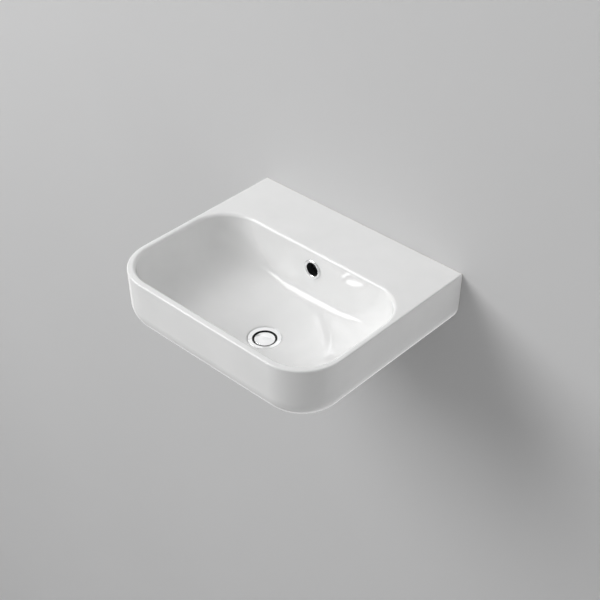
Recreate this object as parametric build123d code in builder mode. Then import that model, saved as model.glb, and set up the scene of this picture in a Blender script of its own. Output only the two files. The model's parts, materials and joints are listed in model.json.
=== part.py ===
from build123d import *
import os
from math import cos, pi, radians, sin, sqrt, tan

# A wall-hung basin of glazed vitreous china, with its overflow ring, push-to-open waste and wall
# fixings. Millimetres. +Z is up, +Y goes into the wall and +X is to the right of someone who stands
# at the basin. The origin is on the wall, midway between the two fixing studs.

# Basin seen from above
width = 500
depth = 425
front_corner_r = 90
side_rim = 13.5
front_rim = 16
deck_depth = 132
bowl_corner_r = 78
waste_from_wall = 266

# Basin heights, measured down from the rim
rim_above_studs = 60
skirt_height = 123
floor_edge_depth = 111
flange_depth = 128.8
boss_depth = 169

# Walls of the casting
china = 10
deck_thickness = 12
back_wall = 13
solid_front = 36
skirt_draft = 1.6
bowl_draft = 1.5
underside_r = 50
rim_edge_r = 3
lip_r = 7

# How far the bowl's walls sweep in to the floor, and the plan corner of the floor's edge
side_reach = 118
side_drop = 100
rear_sweep = 22
front_sweep = 50
floor_corner_r = 100
sweep_end = radians(80)
sweep_steps = 8

# Overflow hole in the bowl's rear wall, and the duct from there to the waste
overflow_depth = 40.7
overflow_bore_r = 14.25
overflow_ring_r = 19.5
overflow_ring_edge = 2.6
overflow_sleeve_wall = 1.4
overflow_sleeve_length = 14
duct_width = 44
duct_gap = 14
duct_wall = 8
duct_bend_r = 10
duct_height = 11

# Waste, turned about its own upright axis
flange_r = 32.5
flange_edge = 2.2
flange_dish = 1.4
recess_r = 24
neck_wall = 2
neck_depth = 11
neck_taper = 2
tube_r = 20.95
tube_bore_r = 18.2
tail_length = 90
tail_chamfer = 1
groove_width = 1.5
groove_depth = 0.8
seat_slope = 1.6
flange_seal_height = 1.3
floor_ring = 4
floor_step = 1
boss_r = 40
boss_edge = 3
slot_width = 8
slot_height = 18
slot_below_neck = 2
slot_pairs = 2

# Pieces that clamp the waste under the boss
lower_seal_height = 7
lower_seal_r = 30
lower_seal_taper = 3
lower_seal_nose = 2
slip_washer_height = 1.6
slip_washer_r = 29
back_nut_height = 10
back_nut_flats = 54
back_nut_flange_r = 31
back_nut_flange = 2.5

# Plug, and the cartridge that holds it down or lets it up
plug_r = 20
plug_below_flange = 2.4
plug_dome = 1.8
plug_thickness = 2.8
plug_edge_r = 0.9
plug_hub_r = 14
plug_lip = 1.5
plug_socket_r = 7
plug_socket_length = 6
plug_seal_r = 23.2
plug_seal_height = 2.6
plug_travel = 8
stem_r = 4
shoulder_r = 6.5
shoulder_height = 3
stem_tip_r = 2.6
stem_tip_length = 5
cartridge_r = 9
cartridge_bore_r = 6.8
bush_head = 2.5
bush_length = 6
latch_height = 5
latch_r = 6.5
latch_teeth = 8
latch_tooth = 1.6
housing_floor = 3
spring_length = 14
spring_r = 5.4
spring_wire_r = 0.6
spider_height = 8
spider_boss_r = 9.5
spider_arm = 3.5
spider_arms = 3
spigot_r = 5
spigot_past_nut = 2
lock_nut_height = 5
lock_nut_flats = 14

# Wall fixings, one set on each side
stud_spacing = 280
stud_r = 5
shank_r = 4.5
shank_in_wall = 3
stud_in_wall = 60
stud_point = 9
stud_past_nut = 3
stud_chamfer = 1
fixing_pad_r = 19
fixing_pad = 4
sleeve_wall = 1.6
sleeve_flange_r = 13
sleeve_flange = 3
fixing_washer_r = 11.7
fixing_washer_height = 2
fixing_nut_flats = 17
fixing_nut_height = 8
nut_cap_wall = 1.4
nut_cap_chamfer = 2

# Service opening under the deck, and the notch in the back's lower edge
service_side = 50
service_corner_r = 18
notch_width = 220
notch_height = 42
notch_corner_r = 20

# Clearances
running_gap = 0.06
thread_gap = 0.05
slip_gap = 0.3
hole_gap = 0.35
rest_gap = 0.3
seal_gap = 0.1
ring_gap = 0.2
recess_gap = 0.7
waste_gap = 2.05
neck_gap = 1
end_gap = 1
push_gap = 1.6
wall_gap = 0.5

rim_z = rim_above_studs
flange_z = rim_z - flange_depth
lean = tan(radians(bowl_draft))
overrun = 2 * underside_r
overflow_hole_r = overflow_bore_r + overflow_sleeve_wall + hole_gap
fixing_hole_r = stud_r + slip_gap + sleeve_wall + hole_gap
neck_r = recess_r + neck_wall
waste_hole_r = tube_r + waste_gap

# Plans of the basin lie on planes that face down, where Y is the distance from the wall
rim = Plane(origin=(0, 0, rim_z), x_dir=(1, 0, 0), z_dir=(0, 0, -1))
# Its side view, where X is the distance from the wall and Y is the depth below the rim
side_view = Plane(origin=(0, 0, rim_z), x_dir=(0, -1, 0), z_dir=(1, 0, 0))
waste_axis = Axis((0, -waste_from_wall, 0), (0, 0, 1))


def bowl_station(below_rim, skin):
    """Half width, rear, front and plan corner of the bowl at one depth, or of its skin's outside."""

    def inset(reach, drop):
        start = floor_edge_depth - drop * sin(sweep_end)
        fallen = max(0, below_rim - start) / (drop + skin)
        return below_rim * lean + (reach + skin) * (1 - sqrt(1 - fallen**2)) - skin

    swept = inset(side_reach, side_drop)
    share = (swept + skin) / (side_reach * (1 - cos(sweep_end)))
    half = width / 2 - side_rim - swept
    rear = deck_depth + inset(rear_sweep, rear_sweep)
    front = depth - front_rim - inset(front_sweep, front_sweep)
    corner = bowl_corner_r + skin + (floor_corner_r - bowl_corner_r) * min(1, share)
    return below_rim, half, rear, front, corner


def bowl_stations(first, skin=0):
    """Stations down the walls, from this depth to the floor's edge, and one at the ring round the waste."""
    start = floor_edge_depth - side_drop * sin(sweep_end)
    turns = [sweep_end * step / sweep_steps for step in range(1, sweep_steps + 1)]
    depths = [first, start] + [start + (side_drop + skin) * sin(turn) for turn in turns]
    ring_r = flange_r + floor_ring + skin
    ring_depth = flange_depth - floor_step + skin
    ring = (ring_depth, ring_r, waste_from_wall - ring_r, waste_from_wall + ring_r, ring_r)
    return [bowl_station(below_rim, skin) for below_rim in depths] + [ring]


def outline(below_rim, half, rear, front, corner):
    """Rounded plan of the bowl at one station, with a little straight side left between its corners."""
    straight = 1
    with BuildSketch(rim.offset(below_rim)) as plan:
        with Locations((0, (rear + front) / 2)):
            RectangleRounded(2 * half, front - rear, min(corner, half - straight, (front - rear) / 2 - straight))
    return plan.sketch


def waste_plane(turn):
    """Upright plane through the waste's axis, where X is the radius and Y the height over the flange's top."""
    return Plane(
        origin=(0, -waste_from_wall, flange_z),
        x_dir=(cos(turn), sin(turn), 0),
        z_dir=(sin(turn), -cos(turn), 0),
    )


def waste_level(drop):
    """Plane across the waste, this far below the flange's top."""
    return Plane(origin=(0, -waste_from_wall, flange_z - drop))


def finish(piece, name):
    """Labels a finished piece and writes it."""
    piece.label = name
    export_step(piece, f"parts/{name}.step")


os.makedirs("parts", exist_ok=True)

# Half section of the waste's turned pieces
waste_section = waste_plane(0)

# Outside of the basin: a drafted skirt with a round underside, drawn past the wall and cut flat there
with BuildPart() as skirt:
    with BuildSketch(rim):
        with Locations((0, (depth - overrun) / 2)):
            plan = Rectangle(width, depth + overrun)
        fillet(plan.vertices().sort_by(Axis.Y)[-2:], front_corner_r)
    extrude(amount=skirt_height)
    draft(skirt.faces().filter_by(Axis.Z, reverse=True).sort_by(Axis.Y)[:-1], rim, skirt_draft)
    fillet(skirt.faces().sort_by(Axis.Z)[0].edges().sort_by(Axis.Y)[:-1], underside_r)
    split(bisect_by=Plane.XZ)
    fillet(skirt.faces().sort_by(Axis.Z)[-1].edges().sort_by(Axis.Y)[:-1], rim_edge_r)

# The bowl: walls that sweep in, and a floor that falls straight to the waste
with BuildPart() as bowl:
    loft([outline(*station) for station in bowl_stations(first=-floor_step)], ruled=True)

# The outside of the china round it, and the shallow belly where its floor comes through the underside
skin_stations = bowl_stations(first=deck_thickness / 2, skin=china)
skin_outlines = [outline(*station) for station in skin_stations]
with BuildPart() as bowl_skin:
    loft(skin_outlines, ruled=True)
with BuildPart() as belly:
    loft(skin_outlines[-2:], ruled=True)

# Overflow duct: down behind the bowl, then forward under its floor to the waste
duct_front = deck_depth - china
duct_rear = duct_front - duct_gap
duct_top = deck_thickness + duct_wall / 2
duct_end = waste_from_wall - waste_hole_r + duct_wall
skin_edge = skin_stations[-2]
skin_end = skin_stations[-1]
floor_slope = (skin_end[0] - skin_edge[0]) / (skin_end[2] - skin_edge[2])


def under_floor(from_wall):
    """Depth of the duct's roof at this distance from the wall."""
    return skin_edge[0] + duct_wall / 2 + (from_wall - skin_edge[2]) * floor_slope


with BuildPart() as duct:
    with BuildSketch(side_view) as duct_side:
        with BuildLine():
            Polyline(
                (duct_rear, duct_top),
                (duct_rear, under_floor(duct_rear) + duct_height),
                (skin_end[2], under_floor(skin_end[2]) + duct_height),
                (duct_end, under_floor(skin_end[2]) + duct_height),
                (duct_end, under_floor(skin_end[2])),
                (skin_end[2], under_floor(skin_end[2])),
                (skin_edge[2], under_floor(skin_edge[2])),
                (duct_front, floor_edge_depth),
                (duct_front, duct_top),
                close=True,
            )
        make_face()
        fillet(duct_side.vertices().group_by(Axis.X)[0].sort_by(Axis.Y)[-1], duct_bend_r)
    extrude(amount=duct_width / 2, both=True)
with BuildPart() as duct_outside:
    with BuildSketch(side_view):
        add(duct_side.sketch_local)
        offset(amount=duct_wall)
    extrude(amount=duct_width / 2 + duct_wall, both=True)
with BuildPart() as boss:
    with BuildSketch(waste_level(0)):
        Circle(boss_r)
    extrude(amount=flange_depth - boss_depth)
    chamfer(boss.faces().sort_by(Axis.Z)[0].edges(), boss_edge)

# Space between the skirt and the bowl, which the casting leaves hollow behind and beside the bowl
room_inset = china + deck_thickness * tan(radians(skirt_draft))
room_top = rim.offset(deck_thickness)
with BuildPart() as room:
    with BuildSketch(room_top):
        with Locations((0, (depth - solid_front - overrun) / 2)):
            plan = Rectangle(width - 2 * room_inset, depth - solid_front + overrun)
        fillet(plan.vertices().sort_by(Axis.Y)[-2:], front_corner_r - china)
    extrude(amount=skirt_height - deck_thickness - china)
    draft(room.faces().filter_by(Axis.Z, reverse=True).sort_by(Axis.Y)[:-1], room_top, skirt_draft)
    fillet(room.faces().sort_by(Axis.Z)[0].edges().sort_by(Axis.Y)[:-1], underside_r - china)
    split(bisect_by=Plane.XZ.offset(back_wall))
    add(bowl_skin.part, mode=Mode.SUBTRACT)
    add(duct_outside.part, mode=Mode.SUBTRACT)
    add(boss.part, mode=Mode.SUBTRACT)
    with BuildSketch(Plane.XZ.offset(back_wall)):
        with Locations((-stud_spacing / 2, 0), (stud_spacing / 2, 0)):
            Circle(fixing_pad_r)
    extrude(amount=fixing_pad, mode=Mode.SUBTRACT)

# The overflow's hole is square to the bowl's leaning rear wall
overflow_face = Plane(
    origin=(0, -deck_depth - overflow_depth * lean, rim_z - overflow_depth),
    x_dir=(1, 0, 0),
    z_dir=(0, -cos(radians(bowl_draft)), sin(radians(bowl_draft))),
)

with BuildPart() as basin_body:
    add(skirt.part)
    add(belly.part)
    add(duct_outside.part)
    add(boss.part)
    add(room.part, mode=Mode.SUBTRACT)
    add(bowl.part, mode=Mode.SUBTRACT)
    fillet(basin_body.faces().filter_by(Axis.Z).sort_by(Axis.Z)[-1].inner_wires()[0].edges(), lip_r)
    add(duct.part, mode=Mode.SUBTRACT)
    # Opening under the deck for the fixings and the pipes, which leaves the duct whole
    with BuildSketch(rim.offset(skirt_height - china)):
        with Locations((0, (back_wall + duct_front) / 2)):
            RectangleRounded(width - 2 * service_side, duct_front - back_wall, service_corner_r)
        with Locations((0, duct_front)):
            Rectangle(duct_width + 2 * duct_wall, 2 * (duct_gap + duct_wall), mode=Mode.SUBTRACT)
    extrude(amount=china, mode=Mode.SUBTRACT)
    with BuildSketch(Plane.XZ):
        with Locations((0, rim_z - skirt_height)):
            notch = Rectangle(notch_width, 2 * notch_height)
        fillet(notch.vertices().sort_by(Axis.Y)[-2:], notch_corner_r)
    extrude(amount=back_wall, mode=Mode.SUBTRACT)
    # Holes for the studs and for the overflow ring's sleeve
    with BuildSketch(Plane.XZ):
        with Locations((-stud_spacing / 2, 0), (stud_spacing / 2, 0)):
            Circle(fixing_hole_r)
    extrude(amount=back_wall + fixing_pad, mode=Mode.SUBTRACT)
    with BuildSketch(overflow_face.offset(overflow_ring_edge)):
        Circle(overflow_hole_r)
    extrude(amount=-overflow_ring_edge - china - duct_gap / 2, mode=Mode.SUBTRACT)
    # Recess, neck and hole for the waste
    for radius, drop in (
        (flange_r + recess_gap, flange_edge + flange_seal_height),
        (neck_r + neck_gap, neck_depth + neck_taper),
        (waste_hole_r, boss_depth - flange_depth),
    ):
        with BuildSketch(waste_level(-floor_step)):
            Circle(radius)
        extrude(amount=-floor_step - drop, mode=Mode.SUBTRACT)
finish(basin_body.part, "basin_body")

# Overflow ring: a rounded flange on a short sleeve
ring_section = Plane(origin=overflow_face.origin, x_dir=(1, 0, 0), z_dir=-overflow_face.y_dir)
sleeve_r = overflow_bore_r + overflow_sleeve_wall
ring_round = overflow_ring_edge / 2
with BuildPart() as overflow_ring:
    with BuildSketch(ring_section):
        with BuildLine():
            Polyline(
                (overflow_ring_r - ring_round, ring_gap),
                (sleeve_r, ring_gap),
                (sleeve_r, -overflow_sleeve_length),
                (overflow_bore_r, -overflow_sleeve_length),
                (overflow_bore_r, ring_gap + ring_round),
            )
            ThreePointArc(
                (overflow_bore_r, ring_gap + ring_round),
                ((overflow_bore_r + overflow_ring_r) / 2, ring_gap + overflow_ring_edge),
                (overflow_ring_r, ring_gap + ring_round),
            )
            Line((overflow_ring_r, ring_gap + ring_round), (overflow_ring_r - ring_round, ring_gap))
        make_face()
    revolve(axis=Axis(overflow_face.origin, overflow_face.z_dir))
finish(overflow_ring.part, "overflow_ring")

# The plug's stack with the plug pushed down, as depths below the flange's top
hub_top = plug_below_flange + plug_thickness
hub_end = hub_top + plug_seal_height + seal_gap
lip_end = hub_end + plug_lip
socket_end = lip_end + plug_socket_length
recess_floor = hub_top + plug_seal_height + rest_gap
stem_top = hub_top + 2 * end_gap
bush_top = socket_end + push_gap
housing_top = bush_top + bush_head
latch_top = housing_top + bush_length
latch_end = latch_top + latch_height
shoulder_top = latch_end + rest_gap + plug_travel
shoulder_end = shoulder_top + shoulder_height
spring_top = shoulder_end + rest_gap
spring_end = spring_top + spring_length
spider_top = spring_end + thread_gap + housing_floor
spider_end = spider_top + spider_height
spigot_end = spider_end + lock_nut_height + spigot_past_nut

# The clamped stack below the boss
seal_end = boss_depth - flange_depth + lower_seal_height
washer_end = seal_end + slip_washer_height
nut_end = washer_end + back_nut_height

# Waste body: dished flange, recess for the plug, slotted tube, and the spider that holds the cartridge.
# The spider's arms end inside the tube's wall, behind the groove
arm_end = (tube_bore_r + tube_r - groove_depth) / 2
with BuildPart() as waste_body:
    with BuildSketch(waste_section):
        with BuildLine():
            Polyline(
                (recess_r, -flange_dish),
                (recess_r, -recess_floor),
                (tube_bore_r, -recess_floor - seat_slope),
                (tube_bore_r, -tail_length),
                (tube_r - tail_chamfer, -tail_length),
                (tube_r, -tail_length + tail_chamfer),
                (tube_r, -nut_end - groove_depth - groove_width),
                (tube_r - groove_depth, -nut_end - groove_depth - groove_width),
                (tube_r - groove_depth, -nut_end - groove_depth),
                (tube_r, -nut_end - groove_depth),
                (tube_r, -neck_depth - neck_taper),
                (neck_r, -neck_depth),
                (neck_r, -flange_edge),
                (flange_r, -flange_edge),
                (flange_r, -flange_edge / 2),
            )
            ThreePointArc(
                (flange_r, -flange_edge / 2),
                (flange_r - flange_edge / 7, -flange_edge / 7),
                (flange_r - flange_edge / 2, 0),
            )
            Line((flange_r - flange_edge / 2, 0), (recess_r, -flange_dish))
        make_face()
    revolve(axis=waste_axis)
    with BuildSketch(waste_level(spider_top)):
        with PolarLocations(arm_end / 2, spider_arms, start_angle=90):
            Rectangle(arm_end, spider_arm)
        Circle(spider_boss_r)
        Circle(spigot_r + thread_gap, mode=Mode.SUBTRACT)
    extrude(amount=-spider_height)
    # Each cut makes the two slots that face each other
    for pair in range(slot_pairs):
        with BuildSketch(waste_plane(pi / slot_pairs * (pair + 1 / 2))):
            with Locations((0, -neck_depth - neck_taper - slot_below_neck - slot_height / 2)):
                SlotOverall(slot_height, slot_width, rotation=90)
        extrude(amount=2 * tube_r, both=True, mode=Mode.SUBTRACT)
finish(waste_body.part, "waste_body")

# Flange seal, between the flange and its seat in the china
with BuildPart() as flange_seal:
    with BuildSketch(waste_level(flange_edge)):
        Circle(flange_r - end_gap)
        Circle(neck_r + slip_gap, mode=Mode.SUBTRACT)
    extrude(amount=-flange_seal_height)
finish(flange_seal.part, "flange_seal")

# Tapered seal under the boss, whose nose centres the tube in its hole
boss_end = boss_depth - flange_depth
with BuildPart() as lower_seal:
    with BuildSketch(waste_section):
        with BuildLine():
            Polyline(
                (tube_r + seal_gap, -seal_end),
                (lower_seal_r, -seal_end),
                (lower_seal_r, -boss_end - lower_seal_taper),
                (lower_seal_r - lower_seal_taper, -boss_end),
                (waste_hole_r - seal_gap, -boss_end),
                (waste_hole_r - waste_gap / 2, -boss_end + lower_seal_nose),
                (tube_r + seal_gap, -boss_end + lower_seal_nose),
                close=True,
            )
        make_face()
    revolve(axis=waste_axis)
finish(lower_seal.part, "lower_seal")

with BuildPart() as slip_washer:
    with BuildSketch(waste_level(seal_end)):
        Circle(slip_washer_r)
        Circle(tube_r + slip_gap, mode=Mode.SUBTRACT)
    extrude(amount=-slip_washer_height)
finish(slip_washer.part, "slip_washer")

# Back nut: a round flange over a hexagon
with BuildPart() as back_nut:
    with BuildSketch(waste_level(washer_end)):
        Circle(back_nut_flange_r)
    extrude(amount=-back_nut_flange)
    with BuildSketch(waste_level(washer_end + back_nut_flange)):
        RegularPolygon(back_nut_flats / 2, 6, major_radius=False)
    extrude(amount=back_nut_flange - back_nut_height)
    chamfer(back_nut.faces().sort_by(Axis.Z)[0].edges(), tail_chamfer)
    with BuildSketch(waste_level(washer_end)):
        Circle(tube_r + thread_gap)
    extrude(amount=-back_nut_height, mode=Mode.SUBTRACT)
finish(back_nut.part, "back_nut")

# Plug: domed cap, hub for its seal and a socket for the stem
with BuildPart() as plug_cap:
    with BuildSketch(waste_section):
        with BuildLine():
            ThreePointArc(
                (0, plug_dome - plug_below_flange),
                ((plug_r - plug_edge_r) / 2, plug_dome * 3 / 4 - plug_below_flange),
                (plug_r - plug_edge_r, -plug_below_flange),
            )
            RadiusArc(
                (plug_r - plug_edge_r, -plug_below_flange),
                (plug_r, -plug_below_flange - plug_edge_r),
                plug_edge_r,
            )
            Polyline(
                (plug_r, -plug_below_flange - plug_edge_r),
                (plug_r, -hub_top),
                (plug_hub_r, -hub_top),
                (plug_hub_r, -hub_end),
                (plug_hub_r + plug_lip, -hub_end),
                (plug_hub_r + plug_lip, -lip_end),
                (plug_socket_r, -lip_end),
                (plug_socket_r, -socket_end),
                (stem_r + thread_gap, -socket_end),
                (stem_r + thread_gap, -hub_top - end_gap),
                (0, -hub_top - end_gap),
                (0, plug_dome - plug_below_flange),
            )
        make_face()
    revolve(axis=waste_axis)
finish(plug_cap.part, "plug_cap")

with BuildPart() as plug_seal:
    with BuildSketch(waste_level(hub_top)):
        Circle(plug_seal_r)
        Circle(plug_hub_r + seal_gap, mode=Mode.SUBTRACT)
    extrude(amount=-plug_seal_height)
finish(plug_seal.part, "plug_seal")

# Stem, with the shoulder that the spring lifts
with BuildPart() as cartridge_stem:
    with BuildSketch(waste_section):
        with BuildLine():
            Polyline(
                (0, -stem_top),
                (stem_r, -stem_top),
                (stem_r, -shoulder_top),
                (shoulder_r, -shoulder_top),
                (shoulder_r, -shoulder_end),
                (stem_tip_r, -shoulder_end),
                (stem_tip_r, -shoulder_end - stem_tip_length),
                (0, -shoulder_end - stem_tip_length),
                close=True,
            )
        make_face()
    revolve(axis=waste_axis)
finish(cartridge_stem.part, "cartridge_stem")

with BuildPart() as cartridge_bush:
    with BuildSketch(waste_level(bush_top)):
        Circle(cartridge_r)
    extrude(amount=-bush_head)
    with BuildSketch(waste_level(housing_top)):
        Circle(cartridge_bore_r - thread_gap)
    extrude(amount=-bush_length)
    with BuildSketch(waste_level(bush_top)):
        Circle(stem_r + running_gap)
    extrude(amount=-bush_head - bush_length, mode=Mode.SUBTRACT)
finish(cartridge_bush.part, "cartridge_bush")

# Latch ring, with ratchet notches round its lower edge
with BuildPart() as cartridge_latch:
    with BuildSketch(waste_level(latch_top)):
        Circle(latch_r)
        Circle(stem_r + slip_gap, mode=Mode.SUBTRACT)
    extrude(amount=-latch_height)
    with BuildSketch(waste_level(latch_end)):
        with PolarLocations(latch_r, latch_teeth):
            Rectangle(2 * (latch_r - stem_r), latch_tooth)
    extrude(amount=latch_tooth, mode=Mode.SUBTRACT)
finish(cartridge_latch.part, "cartridge_latch")

with BuildPart() as cartridge_housing:
    with BuildSketch(waste_level(housing_top)):
        Circle(cartridge_r)
    extrude(amount=housing_top - spider_top)
    with BuildSketch(waste_level(spider_top)):
        Circle(spigot_r)
    extrude(amount=spider_top - spigot_end)
    with BuildSketch(waste_level(housing_top)):
        Circle(cartridge_bore_r)
    extrude(amount=housing_top + housing_floor - spider_top, mode=Mode.SUBTRACT)
finish(cartridge_housing.part, "cartridge_housing")

# Spring, hidden in the housing: the tube that its close coils fill
with BuildPart() as cartridge_spring:
    with BuildSketch(waste_level(spring_top)):
        Circle(spring_r + spring_wire_r)
        Circle(spring_r - spring_wire_r, mode=Mode.SUBTRACT)
    extrude(amount=-spring_length)
finish(cartridge_spring.part, "cartridge_spring")

with BuildPart() as lock_nut:
    with BuildSketch(waste_level(spider_end)):
        RegularPolygon(lock_nut_flats / 2, 6, major_radius=False)
        Circle(spigot_r + thread_gap, mode=Mode.SUBTRACT)
    extrude(amount=-lock_nut_height)
finish(lock_nut.part, "lock_nut")

# Wall fixings, one set on each side: distances from the wall's face to each piece's inner face
pad_face = back_wall + fixing_pad
sleeve_face = pad_face + sleeve_flange
washer_face = sleeve_face + fixing_washer_height
fixing_nut_face = washer_face + fixing_nut_height
stud_face = fixing_nut_face + stud_past_nut
nut_corner_r = fixing_nut_flats / 2 / cos(radians(30))
cap_bore_r = nut_corner_r + rest_gap
for side, across in (("left", -stud_spacing / 2), ("right", stud_spacing / 2)):
    stud_section = Plane(origin=(across, 0, 0))
    stud_axis = Axis((across, 0, 0), (0, 1, 0))

    # Hanger bolt: pointed wood thread in the wall, plain shank in the china, machine thread for the nut
    with BuildPart() as fixing_stud:
        with BuildSketch(stud_section):
            with BuildLine():
                Polyline(
                    (0, stud_in_wall),
                    (stud_r, stud_in_wall - stud_point),
                    (stud_r, shank_in_wall),
                    (shank_r, shank_in_wall),
                    (shank_r, -back_wall),
                    (stud_r, -back_wall),
                    (stud_r, stud_chamfer - stud_face),
                    (stud_r - stud_chamfer, -stud_face),
                    (0, -stud_face),
                    close=True,
                )
            make_face()
        revolve(axis=stud_axis)
    finish(fixing_stud.part, f"{side}_fixing_stud")

    with BuildPart() as fixing_sleeve:
        with BuildSketch(stud_section):
            with BuildLine():
                Polyline(
                    (stud_r + slip_gap, -wall_gap),
                    (stud_r + slip_gap + sleeve_wall, -wall_gap),
                    (stud_r + slip_gap + sleeve_wall, -pad_face),
                    (sleeve_flange_r, -pad_face),
                    (sleeve_flange_r, -sleeve_face),
                    (stud_r + slip_gap, -sleeve_face),
                    close=True,
                )
            make_face()
        revolve(axis=stud_axis)
    finish(fixing_sleeve.part, f"{side}_fixing_sleeve")

    with BuildPart() as fixing_washer:
        with BuildSketch(Plane.XZ.offset(sleeve_face)):
            with Locations((across, 0)):
                Circle(fixing_washer_r)
                Circle(stud_r + slip_gap, mode=Mode.SUBTRACT)
        extrude(amount=fixing_washer_height)
    finish(fixing_washer.part, f"{side}_fixing_washer")

    with BuildPart() as fixing_nut:
        with BuildSketch(Plane.XZ.offset(washer_face)):
            with Locations((across, 0)):
                RegularPolygon(fixing_nut_flats / 2, 6, major_radius=False)
                Circle(stud_r + thread_gap, mode=Mode.SUBTRACT)
        extrude(amount=fixing_nut_height)
    finish(fixing_nut.part, f"{side}_fixing_nut")

    # Cap: a cup over the nut and the stud's end
    with BuildPart() as nut_cap:
        with BuildSketch(Plane.XZ.offset(washer_face)):
            with Locations((across, 0)):
                Circle(cap_bore_r + nut_cap_wall)
        extrude(amount=stud_face + end_gap + nut_cap_wall - washer_face)
        chamfer(nut_cap.faces().sort_by(Axis.Y)[0].edges(), nut_cap_chamfer)
        with BuildSketch(Plane.XZ.offset(washer_face)):
            with Locations((across, 0)):
                Circle(cap_bore_r)
        extrude(amount=stud_face + end_gap - washer_face, mode=Mode.SUBTRACT)
    finish(nut_cap.part, f"{side}_nut_cap")
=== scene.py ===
"""Looks of the wall-hung basin: its glaze, metals, rubber and plastics, screw threads, wall and light."""

import json
import math

import bmesh
import bpy
import numpy as np
from mathutils import Matrix, Vector

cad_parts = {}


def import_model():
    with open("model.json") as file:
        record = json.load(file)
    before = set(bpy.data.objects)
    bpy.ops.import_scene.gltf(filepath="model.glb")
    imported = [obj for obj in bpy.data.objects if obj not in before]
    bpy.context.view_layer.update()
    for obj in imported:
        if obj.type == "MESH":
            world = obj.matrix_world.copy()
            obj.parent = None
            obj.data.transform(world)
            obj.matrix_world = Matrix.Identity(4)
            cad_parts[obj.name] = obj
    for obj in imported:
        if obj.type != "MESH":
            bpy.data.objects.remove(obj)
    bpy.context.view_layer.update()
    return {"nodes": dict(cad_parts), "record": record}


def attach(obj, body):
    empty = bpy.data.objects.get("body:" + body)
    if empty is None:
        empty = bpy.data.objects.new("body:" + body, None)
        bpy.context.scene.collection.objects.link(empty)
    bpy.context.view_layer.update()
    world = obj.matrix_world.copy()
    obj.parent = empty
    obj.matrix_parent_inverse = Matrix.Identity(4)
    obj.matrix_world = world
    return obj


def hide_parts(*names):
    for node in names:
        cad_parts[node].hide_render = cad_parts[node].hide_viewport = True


MM = 0.001

# The basin's outside and bowl, in millimetres, for the exact shading of its curved surfaces
WIDTH = 500
DEPTH = 425
FRONT_CORNER_R = 90
SIDE_RIM = 13.5
FRONT_RIM = 16
DECK_DEPTH = 132
BOWL_CORNER_R = 78
WASTE_FROM_WALL = 266
RIM_Z = 60
SKIRT_HEIGHT = 123
FLOOR_EDGE_DEPTH = 111
SKIRT_DRAFT = math.radians(1.6)
BOWL_DRAFT = math.radians(1.5)
UNDERSIDE_R = 50
RIM_EDGE_R = 3
LIP_R = 7
SIDE_REACH = 118
SIDE_DROP = 100
REAR_SWEEP = 22
FRONT_SWEEP = 50
FLOOR_CORNER_R = 100
SWEEP_END = math.radians(80)
RING_R = 36.5
RING_DEPTH = 127.8
FLANGE_Z = -68.8

# Bare clay lies nearer the wall than this, in millimetres
CLAY_DEPTH = 0.4

# The places painted black as shade, in millimetres. The overflow's bore, and how far out from its centre the
# painted shade reaches
OVERFLOW_CENTRE = (0, -133.07, 19.3)
OVERFLOW_DARK_R = 14.8
OVERFLOW_DARK_HEIGHT = 1.2

# The overflow's duct behind the bowl, painted black as shade, by its half width and its distances from the
# wall
DUCT_HALF_WIDTH = 22.3
DUCT_NEAR = 108
DUCT_FAR = 122.2

# The recess round the plug, and the plug's side, both painted black as shade
RECESS_DARK_R = 24.3
RECESS_DARK_Z = FLANGE_Z - 1.7
RECESS_END_Z = FLANGE_Z - 12
CAP_DARK_Z = FLANGE_Z - 3.3

# How far, in millimetres, a face's centre may lie from the surface that it is taken to belong to.
# The bowl's flat faces cut further inside its sweeps than the other surfaces' do.
NEAR = 0.6
BOWL_NEAR = 6 * NEAR

# How well a surface's normal must agree with the face's own to take its place
FACING = 0.93

# Steps over which slopes are taken, in millimetres: in plan, and down the bowl and the skirt
PLAN_STEP = 0.2
BOWL_STEP = 2.5
SKIRT_STEP = 1

# Vertices closer than this are joined, in metres, and edges sharper than this stay sharp
WELD = 1e-6
SHARP_ANGLE = math.radians(32)

# A blend of two colours runs between these values of its noise
BLEND_START = 0.35
BLEND_END = 0.65

# Finish of everything chromed
CHROME = {"low": (0.86, 0.865, 0.87), "high": (0.92, 0.922, 0.925), "smooth": 0.02, "rough": 0.05}

# Threads, in millimetres: the waste's tail below the flange, and the studs behind the wall's face
TAIL_THREAD = {"start": 61.3, "end": 89.4, "radius": 20.95, "pitch": 2.31, "height": 0.75}
WOOD_THREAD = {"start": 3.5, "end": 51, "radius": 5, "pitch": 4.2, "height": 0.9}
STUD_SPACING = 280

# A thread's profile: how deep its foot is sunk, in millimetres, and shares of its pitch and flank
THREAD_SUNK = 0.25
CREST_SHARE = 0.12
FLANK_SHARE = 0.46
ROOT_SHARE = 0.92

# A thread's helix: its steps in each turn, the steps of each run-out, and the height left at the ends
TURN_STEPS = 40
RUN_OUT_STEPS = 20
RUN_OUT_HEIGHT = 0.05

# Wall and floor, in metres: the wall stands just behind the basin's back
STAGE_REACH = 6
STAGE_TOP = 4
FLOOR_Z = -2.75
WALL_Y = 0.0004
WALL_COLOUR = (0.655, 0.655, 0.657)
FLOOR_COLOUR = (0.7, 0.7, 0.7)
WALL_MIRRORED = 0.95
FLOOR_MIRRORED = 0.6
STAGE_SHADE = 0.985

# Lights: places and sides in metres, power in watts, and the strength of the light from all round
LIGHT_TARGET = (0, -0.2, 0)
KEY_LIGHT = {"place": (-3.0, -2.95, 2.9), "side": 3.4, "power": 190}
FILL_LIGHT = {"place": (3.2, -2.6, 0.4), "side": 3, "power": 11}
WORLD_STRENGTH = 0.3
WORLD_MIRRORED = 0.7

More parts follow.
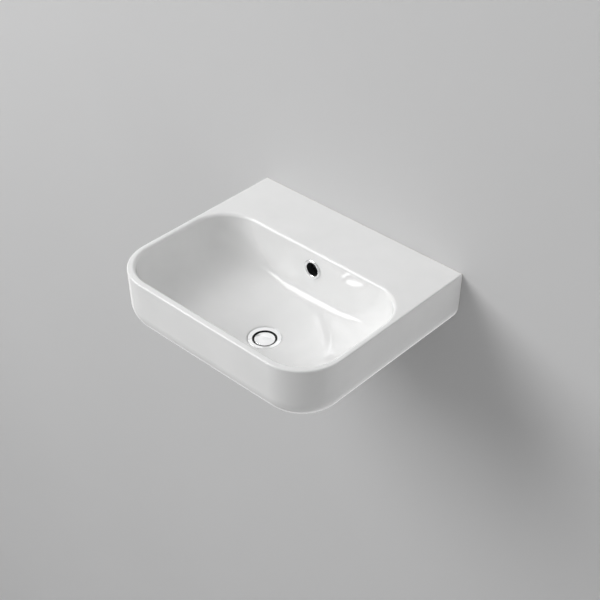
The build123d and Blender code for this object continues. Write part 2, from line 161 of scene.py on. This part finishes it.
# Camera: its place in metres, its angles, and its lens and sensor in millimetres
CAMERA_PLACE = Vector((1.2710, -1.5310, 1.3776))
CAMERA_AZIMUTH = math.radians(43.01)
CAMERA_FALL = math.radians(37.15)
CAMERA_ROLL = math.radians(-0.14)
CAMERA_LENS = 73.52
CAMERA_SENSOR = 36

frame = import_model()
NODES = frame["nodes"]


# Shape of the basin


def plan_distance(x, y, half, rear, front, corner):
    """Distance in plan from a rounded rectangle, less than nothing inside it."""
    qx = np.abs(x) - (half - corner)
    qy = np.abs(y - (rear + front) / 2) - ((front - rear) / 2 - corner)
    return np.hypot(np.maximum(qx, 0), np.maximum(qy, 0)) + np.minimum(np.maximum(qx, qy), 0) - corner


def inset(depth, reach, drop):
    """How far a bowl wall has come in at this depth."""
    start = FLOOR_EDGE_DEPTH - drop * math.sin(SWEEP_END)
    fallen = np.clip((depth - start) / drop, 0, 1)
    return depth * math.tan(BOWL_DRAFT) + reach * (1 - np.sqrt(1 - fallen**2))


def bowl_distance(x, y, depth):
    """Distance in plan from the bowl's outline at this depth: swept walls, then a straight floor."""
    wall = np.minimum(depth, FLOOR_EDGE_DEPTH)
    swept = inset(wall, SIDE_REACH, SIDE_DROP)
    opening = SIDE_REACH * (1 - math.cos(SWEEP_END))
    half = WIDTH / 2 - SIDE_RIM - swept
    rear = DECK_DEPTH + inset(wall, REAR_SWEEP, REAR_SWEEP)
    front = DEPTH - FRONT_RIM - inset(wall, FRONT_SWEEP, FRONT_SWEEP)
    corner = BOWL_CORNER_R + (FLOOR_CORNER_R - BOWL_CORNER_R) * np.minimum(1, swept / opening)
    share = np.maximum(0, (depth - FLOOR_EDGE_DEPTH) / (RING_DEPTH - FLOOR_EDGE_DEPTH))
    half = half + share * (RING_R - half)
    rear = rear + share * (WASTE_FROM_WALL - RING_R - rear)
    front = front + share * (WASTE_FROM_WALL + RING_R - front)
    corner = corner + share * (RING_R - corner)
    return plan_distance(x, y, half, rear, front, np.minimum(corner, half))


def skirt_distance(x, y, depth):
    """Distance in plan from the drafted skirt, which runs on through the wall."""
    qx = np.abs(x) - (WIDTH / 2 - FRONT_CORNER_R)
    qy = y - (DEPTH - FRONT_CORNER_R)
    plan = np.hypot(np.maximum(qx, 0), np.maximum(qy, 0)) + np.minimum(np.maximum(qx, qy), 0)
    return plan - FRONT_CORNER_R + depth * math.tan(SKIRT_DRAFT)


def slope(distance, x, y, depth, step):
    """Direction in which a distance grows, as unit vectors in the object's own axes."""
    across = distance(x + PLAN_STEP, y, depth) - distance(x - PLAN_STEP, y, depth)
    out = distance(x, y + PLAN_STEP, depth) - distance(x, y - PLAN_STEP, depth)
    down = distance(x, y, depth + step) - distance(x, y, depth - step)
    grown = np.stack([across / (2 * PLAN_STEP), -out / (2 * PLAN_STEP), -down / (2 * step)], axis=1)
    return grown / np.linalg.norm(grown, axis=1)[:, None]


def rolled(outward, rise):
    """Unit vectors that turn from level, along outward, to upright as rise goes from 0 to 1 or -1."""
    level = outward.copy()
    level[:, 2] = 0
    level /= np.linalg.norm(level, axis=1)[:, None]
    up = np.clip(rise, -1, 1)
    turned = level * np.sqrt(1 - up**2)[:, None]
    turned[:, 2] = up
    return turned


def on_round(beyond, along, radius):
    """Whether points lie on a rounded edge, from how far they are past its centre both ways."""
    return np.abs(np.hypot(np.maximum(beyond, 0), np.maximum(along, 0)) - radius) < NEAR


def measured(points):
    """How far points lie to the right, out from the wall and below the rim."""
    return points[:, 0], -points[:, 1], RIM_Z - points[:, 2]


def exact_normals(corners, centres):
    """Candidates for each corner's normal, and whether its face's centre lies on that surface."""
    x, y, depth = measured(corners)
    face_x, face_y, face_depth = measured(centres)
    bowl = -slope(bowl_distance, x, y, depth, BOWL_STEP)
    skirt = slope(skirt_distance, x, y, depth, SKIRT_STEP)
    to_bowl = bowl_distance(face_x, face_y, face_depth)
    to_skirt = skirt_distance(face_x, face_y, face_depth)
    bottom = SKIRT_HEIGHT - UNDERSIDE_R

    lip = rolled(bowl, (LIP_R - depth) / LIP_R)
    on_lip = (face_depth < LIP_R) & on_round(LIP_R - to_bowl, LIP_R - face_depth, LIP_R)
    edge = rolled(skirt, (RIM_EDGE_R - depth) / RIM_EDGE_R)
    above = RIM_EDGE_R - face_depth
    on_edge = (above > 0) & on_round(to_skirt + RIM_EDGE_R, above, RIM_EDGE_R)
    under = rolled(skirt, (bottom - depth) / UNDERSIDE_R)
    on_under = (face_depth > bottom) & on_round(to_skirt + UNDERSIDE_R, face_depth - bottom, UNDERSIDE_R)
    on_bowl = (face_depth >= LIP_R) & (face_depth < RING_DEPTH) & (np.abs(to_bowl) < BOWL_NEAR)
    on_skirt = (face_depth >= RIM_EDGE_R) & (face_depth <= bottom) & (np.abs(to_skirt) < NEAR)
    return ((lip, on_lip), (edge, on_edge), (under, on_under), (bowl, on_bowl), (skirt, on_skirt))


def numbers(items, field, width=1, kind=float):
    """One property of all of a mesh's items, as an array with so many columns."""
    values = np.empty(len(items) * width, kind)
    items.foreach_get(field, values)
    return values.reshape(-1, width) if width > 1 else values


def weld(mesh):
    """Joins the facets of a mesh where they meet, so that it can be shaded smooth."""
    made = bmesh.new()
    made.from_mesh(mesh)
    bmesh.ops.remove_doubles(made, verts=made.verts, dist=WELD)
    bmesh.ops.dissolve_degenerate(made, edges=made.edges, dist=WELD)
    made.to_mesh(mesh)
    made.free()


def shade_exactly(mesh):
    """Gives the basin's mesh the normals of its true curved surfaces, wherever a face lies on one."""
    normals = numbers(mesh.corner_normals, "vector", 3)
    points = numbers(mesh.vertices, "co", 3) / MM
    vertex_of = numbers(mesh.loops, "vertex_index", kind=int)
    sides = numbers(mesh.polygons, "loop_total", kind=int)
    face_of = np.repeat(np.arange(len(sides)), sides)
    facing = numbers(mesh.polygons, "normal", 3)[face_of]
    centres = numbers(mesh.polygons, "center", 3)[face_of] / MM

    best = np.full(len(normals), FACING)
    for candidate, near in exact_normals(points[vertex_of], centres):
        agrees = np.einsum("ij,ij->i", candidate, facing)
        better = near & (agrees > best)
        normals[better] = candidate[better]
        best[better] = agrees[better]
    mesh.normals_split_custom_set(normals)


def basin(material):
    """The basin's china: its own mesh, shaded as the curved surfaces that it stands for."""
    mesh = NODES["basin_body"].data.copy()
    mesh.name = "basin_china"
    weld(mesh)
    mesh.materials.clear()
    mesh.materials.append(material)
    mesh.shade_smooth()
    mesh.set_sharp_from_angle(angle=SHARP_ANGLE)
    shade_exactly(mesh)
    piece = bpy.data.objects.new("basin_china", mesh)
    bpy.context.scene.collection.objects.link(piece)
    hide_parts("basin_body")
    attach(piece, "basin")


# Materials


def shader(name):
    """A new material, with its node tree and its main shader."""
    material = bpy.data.materials.new(name)
    material.use_nodes = True
    tree = material.node_tree
    return material, tree, tree.nodes["Principled BSDF"]


def node(tree, kind, **settings):
    """A node with some of its properties and inputs set by name."""
    made = tree.nodes.new(kind)
    for key, value in settings.items():
        if hasattr(made, key):
            setattr(made, key, value)
        else:
            made.inputs[key].default_value = value
    return made


def noise(tree, scale, detail, stretch=None):
    """Noise in the object's own coordinates, at so many waves a metre."""
    place = node(tree, "ShaderNodeTexCoord").outputs["Object"]
    if stretch:
        mapping = node(tree, "ShaderNodeMapping", Scale=stretch)
        tree.links.new(place, mapping.inputs["Vector"])
        place = mapping.outputs["Vector"]
    made = node(tree, "ShaderNodeTexNoise", Scale=scale, Detail=detail)
    tree.links.new(place, made.inputs["Vector"])
    return made.outputs["Fac"]


def ramp(tree, factor, low, high):
    """Blend of two colours by a factor."""
    made = node(tree, "ShaderNodeValToRGB")
    for stop, place, colour in zip(made.color_ramp.elements, (BLEND_START, BLEND_END), (low, high)):
        stop.position = place
        stop.color = (*colour, 1)
    tree.links.new(factor, made.inputs["Fac"])
    return made.outputs["Color"]


def between(tree, factor, low, high):
    """Factor mapped from 0 and 1 to two values."""
    made = node(tree, "ShaderNodeMapRange")
    made.inputs["To Min"].default_value = low
    made.inputs["To Max"].default_value = high
    tree.links.new(factor, made.inputs["Value"])
    return made.outputs["Result"]


def bump(tree, main, height, depth, strength, below=None):
    """Relief of so many metres, laid over another relief."""
    made = node(tree, "ShaderNodeBump", Strength=strength, Distance=depth)
    tree.links.new(height, made.inputs["Height"])
    if below:
        tree.links.new(below, made.inputs["Normal"])
    tree.links.new(made.outputs["Normal"], main.inputs["Normal"])
    return made.outputs["Normal"]


def maths(tree, operation, first, second=None):
    """One step of arithmetic on sockets or numbers."""
    made = node(tree, "ShaderNodeMath", operation=operation)
    for socket, value in zip(made.inputs, (first, second)):
        if hasattr(value, "links"):
            tree.links.new(value, socket)
        elif value is not None:
            socket.default_value = value
    return made.outputs["Value"]


def coordinates(tree, centre=(0, 0, 0)):
    """The object's own coordinates, in millimetres from a point."""
    split = node(tree, "ShaderNodeSeparateXYZ")
    tree.links.new(node(tree, "ShaderNodeTexCoord").outputs["Object"], split.inputs["Vector"])
    millimetres = [maths(tree, "DIVIDE", socket, MM) for socket in split.outputs]
    return [maths(tree, "SUBTRACT", value, start) for value, start in zip(millimetres, centre)]


def axis_distance(tree, first, second):
    """Distance from an axis, from the two coordinates across it."""
    squares = [maths(tree, "MULTIPLY", value, value) for value in (first, second)]
    return maths(tree, "SQRT", maths(tree, "ADD", *squares))


def all_of(tree, *tests):
    """One where every test is met: each is a socket, a comparison and a number."""
    met = 1
    for value, comparison, limit in tests:
        met = maths(tree, "MULTIPLY", maths(tree, comparison, value, limit), met)
    return met


def put_over(tree, main, mask, colour, roughness, metallic=None):
    """Turns the masked places of a surface to another finish."""
    mixed = node(tree, "ShaderNodeMix", data_type="RGBA")
    tree.links.new(mask, mixed.inputs["Factor"])
    tree.links.new(main.inputs["Base Color"].links[0].from_socket, mixed.inputs["A"])
    if hasattr(colour, "links"):
        tree.links.new(colour, mixed.inputs["B"])
    else:
        mixed.inputs["B"].default_value = (*colour, 1)
    tree.links.new(mixed.outputs["Result"], main.inputs["Base Color"])
    rough = node(tree, "ShaderNodeMix", data_type="FLOAT")
    tree.links.new(mask, rough.inputs["Factor"])
    tree.links.new(main.inputs["Roughness"].links[0].from_socket, rough.inputs["A"])
    rough.inputs["B"].default_value = roughness
    tree.links.new(rough.outputs["Result"], main.inputs["Roughness"])
    if metallic is not None:
        tree.links.new(between(tree, mask, 1, metallic), main.inputs["Metallic"])


def glaze():
    """White glaze with faint waves, bare fired clay on the face against the wall, and painted shade: the
    overflow's duct painted near black.
    """
    material, tree, main = shader("white_glaze")
    main.inputs["IOR"].default_value = 1.52
    white = ramp(tree, noise(tree, scale=9, detail=4), (0.86, 0.862, 0.858), (0.9, 0.9, 0.896))
    tree.links.new(white, main.inputs["Base Color"])
    rough = between(tree, noise(tree, scale=25, detail=3), 0.05, 0.09)
    tree.links.new(rough, main.inputs["Roughness"])

    x, y, z = coordinates(tree)
    clay = ramp(tree, noise(tree, scale=140, detail=6), (0.62, 0.58, 0.52), (0.72, 0.69, 0.63))
    back = all_of(tree, (y, "GREATER_THAN", -CLAY_DEPTH))
    put_over(tree, main, back, clay, roughness=0.85)
    # Painted shade: the duct inside the overflow is painted near black
    duct = all_of(
        tree,
        (maths(tree, "ABSOLUTE", x), "LESS_THAN", DUCT_HALF_WIDTH),
        (y, "GREATER_THAN", -DUCT_FAR),
        (y, "LESS_THAN", -DUCT_NEAR),
        (z, "LESS_THAN", RIM_Z - LIP_R),
    )
    put_over(tree, main, duct, (0.02, 0.02, 0.02), roughness=0.7)

    waves = bump(tree, main, noise(tree, scale=14, detail=2), depth=0.0002, strength=0.25)
    bump(tree, main, noise(tree, scale=220, detail=2), depth=0.00001, strength=0.2, below=waves)
    return material


def metal(name, low, high, smooth, rough, lines=None, axis="z"):
    """Polished or turned metal, with faint smears and, where asked, lathe marks round an axis."""
    material, tree, main = shader(name)
    main.inputs["Metallic"].default_value = 1
    tree.links.new(ramp(tree, noise(tree, scale=60, detail=4), low, high), main.inputs["Base Color"])
    tree.links.new(between(tree, noise(tree, scale=160, detail=5), smooth, rough), main.inputs["Roughness"])
    relief = bump(tree, main, noise(tree, scale=300, detail=3), depth=0.00002, strength=0.15)
    if lines:
        stretch = (1, 1, lines) if axis == "z" else (1, lines, 1)
        marks = noise(tree, scale=12, detail=2, stretch=stretch)
        bump(tree, main, marks, depth=0.00003, strength=0.35, below=relief)
    return material


def moulded(name, low, high, smooth, rough, grain, depth):
    """Moulded rubber or plastic with a fine grain."""
    material, tree, main = shader(name)
    tree.links.new(ramp(tree, noise(tree, scale=45, detail=4), low, high), main.inputs["Base Color"])
    tree.links.new(between(tree, noise(tree, scale=120, detail=4), smooth, rough), main.inputs["Roughness"])
    bump(tree, main, noise(tree, scale=grain, detail=4), depth, strength=0.4)
    return material


def chrome_with_painted_shade(name, mask_of):
    """Chrome whose recessed places are painted black as shade: mask_of gives their mask from the material's
    nodes.
    """
    material = metal(name, **CHROME)
    tree = material.node_tree
    # Painted shade: the chrome's hollows are painted near black
    black = (0.012, 0.012, 0.013)
    put_over(tree, tree.nodes["Principled BSDF"], mask_of(tree), black, roughness=0.5, metallic=0)
    return material


def overflow_bore(tree):
    """Mask of the overflow ring's bore, which is painted black as shade."""
    x, y, z = coordinates(tree, OVERFLOW_CENTRE)
    inside = (axis_distance(tree, x, z), "LESS_THAN", OVERFLOW_DARK_R)
    return all_of(tree, inside, (y, "GREATER_THAN", -OVERFLOW_DARK_HEIGHT))


def plug_recess(tree):
    """Mask of the waste's recess round the plug, between two levels below the flange, which is painted black
    as shade.
    """
    x, y, z = coordinates(tree, (0, -WASTE_FROM_WALL, 0))
    inside = (axis_distance(tree, x, y), "LESS_THAN", RECESS_DARK_R)
    return all_of(tree, inside, (z, "LESS_THAN", RECESS_DARK_Z), (z, "GREATER_THAN", RECESS_END_Z))


def plug_side(tree):
    """Mask of the plug's side, below its dome, which is painted black as shade."""
    return all_of(tree, (coordinates(tree)[2], "LESS_THAN", CAP_DARK_Z))


def dress(finishes, painted_shade_finishes):
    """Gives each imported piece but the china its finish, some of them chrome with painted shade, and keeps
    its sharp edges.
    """
    slot_of = {entry["node"]: entry["material_slot"] for entry in frame["record"]["subparts"]}
    for name, piece in NODES.items():
        if name != "basin_body":
            piece.data.materials.clear()
            piece.data.materials.append(painted_shade_finishes.get(name) or finishes[slot_of[name]])
            piece.data.set_sharp_from_angle(angle=SHARP_ANGLE)


# Screw threads


def thread(name, base, direction, slot_name, material, start, end, radius, pitch, height):
    """A raised helix round a shaft that leaves its base in a direction, run out at both ends."""
    across = Vector((1, 0, 0))
    over = across.cross(direction)
    count = int(((end - start) / pitch - 1) * TURN_STEPS)
    flank = pitch * FLANK_SHARE
    made = bmesh.new()
    rings = []
    for step in range(count + 1):
        turn = 2 * math.pi * step / TURN_STEPS
        along = start + pitch / 2 + pitch * step / TURN_STEPS
        run_out = min(1, step / RUN_OUT_STEPS, (count - step) / RUN_OUT_STEPS)
        crest = radius + height * (RUN_OUT_HEIGHT + (1 - RUN_OUT_HEIGHT) * run_out)
        profile = (
            (radius - THREAD_SUNK, -flank),
            (radius, -flank * ROOT_SHARE),
            (crest, -pitch * CREST_SHARE / 2),
            (crest, pitch * CREST_SHARE / 2),
            (radius, flank * ROOT_SHARE),
            (radius - THREAD_SUNK, flank),
        )
        ring = []
        for out, shift in profile:
            level = direction * (along + shift)
            place = across * (out * math.cos(turn)) + over * (out * math.sin(turn)) + level
            ring.append(made.verts.new((place + base) * MM))
        rings.append(ring)
    for before, after in zip(rings, rings[1:]):
        for i in range(len(before)):
            j = (i + 1) % len(before)
            made.faces.new((before[i], before[j], after[j], after[i]))
    made.faces.new(rings[0])
    made.faces.new(rings[-1])
    bmesh.ops.recalc_face_normals(made, faces=made.faces)
    mesh = bpy.data.meshes.new(name)
    made.to_mesh(mesh)
    made.free()
    mesh.shade_smooth()
    mesh.set_sharp_from_angle(angle=SHARP_ANGLE)
    mesh.materials.append(material)
    piece = bpy.data.objects.new(name, mesh)
    bpy.context.scene.collection.objects.link(piece)
    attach(piece, "basin")


# Wall, floor, lights and camera


def backdrop(name, corners, colour, mirrored, one_sided):
    """A flat stage piece that metal mirrors as paler, seen from its front alone where one-sided."""
    mesh = bpy.data.meshes.new(name)
    mesh.from_pydata(corners, [], [(0, 1, 2, 3)])
    material, tree, main = shader(name)
    shaded = tuple(c * STAGE_SHADE for c in colour)
    tree.links.new(ramp(tree, noise(tree, scale=1.5, detail=3), shaded, colour), main.inputs["Base Color"])
    main.inputs["Roughness"].default_value = 0.9
    glow = node(tree, "ShaderNodeEmission", Strength=mirrored)
    shown = node(tree, "ShaderNodeMixShader")
    tree.links.new(node(tree, "ShaderNodeLightPath").outputs["Is Glossy Ray"], shown.inputs["Fac"])
    tree.links.new(main.outputs["BSDF"], shown.inputs[1])
    tree.links.new(glow.outputs["Emission"], shown.inputs[2])
    if one_sided:
        front = shown
        shown = node(tree, "ShaderNodeMixShader")
        clear = node(tree, "ShaderNodeBsdfTransparent")
        tree.links.new(node(tree, "ShaderNodeNewGeometry").outputs["Backfacing"], shown.inputs["Fac"])
        tree.links.new(front.outputs["Shader"], shown.inputs[1])
        tree.links.new(clear.outputs["BSDF"], shown.inputs[2])
    tree.links.new(shown.outputs["Shader"], tree.nodes["Material Output"].inputs["Surface"])
    mesh.materials.append(material)
    piece = bpy.data.objects.new(name, mesh)
    bpy.context.scene.collection.objects.link(piece)


def room():
    """The wall that the basin hangs on, and the floor far below it."""
    reach = STAGE_REACH
    low_edge = [(-reach, WALL_Y, FLOOR_Z), (reach, WALL_Y, FLOOR_Z)]
    high_edge = [(reach, WALL_Y, STAGE_TOP), (-reach, WALL_Y, STAGE_TOP)]
    backdrop("wall", low_edge + high_edge, WALL_COLOUR, WALL_MIRRORED, one_sided=True)
    front_edge = [(-reach, -reach, FLOOR_Z), (reach, -reach, FLOOR_Z)]
    back_edge = [(reach, reach, FLOOR_Z), (-reach, reach, FLOOR_Z)]
    backdrop("floor", front_edge + back_edge, FLOOR_COLOUR, FLOOR_MIRRORED, one_sided=False)


def softbox(name, place, side, power):
    """A square area light that faces the basin."""
    light = bpy.data.lights.new(name, "AREA")
    light.shape = "SQUARE"
    light.size = side
    light.energy = power
    lamp = bpy.data.objects.new(name, light)
    lamp.location = place
    lamp.rotation_mode = "QUATERNION"
    lamp.rotation_quaternion = (Vector(LIGHT_TARGET) - Vector(place)).to_track_quat("-Z", "Y")
    bpy.context.scene.collection.objects.link(lamp)


def world(strength, mirrored):
    """Even light from all round, which polished surfaces mirror as a paler room."""
    made = bpy.data.worlds.new("studio")
    made.use_nodes = True
    tree = made.node_tree
    sky = tree.nodes["Background"]
    sky.inputs["Color"].default_value = (1, 1, 1, 1)
    ray = node(tree, "ShaderNodeLightPath")
    level = between(tree, ray.outputs["Is Glossy Ray"], strength, mirrored)
    tree.links.new(level, sky.inputs["Strength"])
    bpy.context.scene.world = made


def camera():
    """Camera at the photograph's place, angle and lens."""
    made = bpy.data.objects.new("camera", bpy.data.cameras.new("camera"))
    made.data.lens = CAMERA_LENS
    made.data.sensor_width = CAMERA_SENSOR
    turn, fall, roll = CAMERA_AZIMUTH, CAMERA_FALL, CAMERA_ROLL
    ahead = Vector((-math.sin(turn) * math.cos(fall), math.cos(turn) * math.cos(fall), -math.sin(fall)))
    right = Vector((math.cos(turn), math.sin(turn), 0))
    up = right.cross(ahead)
    right, up = math.cos(roll) * right + math.sin(roll) * up, math.cos(roll) * up - math.sin(roll) * right
    facing = Matrix((right, up, -ahead)).transposed().to_4x4()
    made.matrix_world = Matrix.Translation(CAMERA_PLACE) @ facing
    bpy.context.scene.collection.objects.link(made)
    bpy.context.scene.camera = made


basin(glaze())
FINISHES = {
    "chrome": metal("polished_chrome", **CHROME),
    "brass": metal("turned_brass", (0.62, 0.44, 0.19), (0.72, 0.54, 0.26), smooth=0.2, rough=0.34, lines=60),
    "zinc_steel": metal(
        "bright_zinc", (0.56, 0.57, 0.6), (0.68, 0.69, 0.7),
        smooth=0.22, rough=0.36, lines=60, axis="y",
    ),
    "spring_steel": metal("spring_steel", (0.5, 0.51, 0.53), (0.58, 0.59, 0.6), smooth=0.2, rough=0.3),
    "black_rubber": moulded(
        "black_rubber", (0.012, 0.012, 0.013), (0.03, 0.03, 0.031),
        smooth=0.5, rough=0.66, grain=900, depth=0.00005,
    ),
    "white_plastic": moulded(
        "white_acetal", (0.7, 0.7, 0.66), (0.8, 0.8, 0.77),
        smooth=0.35, rough=0.48, grain=700, depth=0.00003,
    ),
    "cap_plastic": moulded(
        "gloss_cap", (0.78, 0.78, 0.77), (0.85, 0.85, 0.84),
        smooth=0.16, rough=0.26, grain=500, depth=0.00002,
    ),
}
# Chrome pieces with painted shade in their hollows
PAINTED_SHADE_CHROME = {
    "overflow_ring": chrome_with_painted_shade("chrome_overflow", overflow_bore),
    "waste_body": chrome_with_painted_shade("chrome_waste", plug_recess),
    "plug_cap": chrome_with_painted_shade("chrome_plug", plug_side),
}
dress(FINISHES, PAINTED_SHADE_CHROME)

waste = Vector((0, -WASTE_FROM_WALL, FLANGE_Z))
thread("tail_thread", waste, Vector((0, 0, -1)), "chrome", FINISHES["chrome"], **TAIL_THREAD)
for side, place in (("left", -STUD_SPACING / 2), ("right", STUD_SPACING / 2)):
    stud = Vector((place, 0, 0))
    into_wall = Vector((0, 1, 0))
    thread(f"{side}_wall_thread", stud, into_wall, "zinc_steel", FINISHES["zinc_steel"], **WOOD_THREAD)

room()
softbox("key", **KEY_LIGHT)
softbox("fill", **FILL_LIGHT)
world(WORLD_STRENGTH, WORLD_MIRRORED)
camera()

scene = bpy.context.scene
scene.view_settings.view_transform = "Standard"
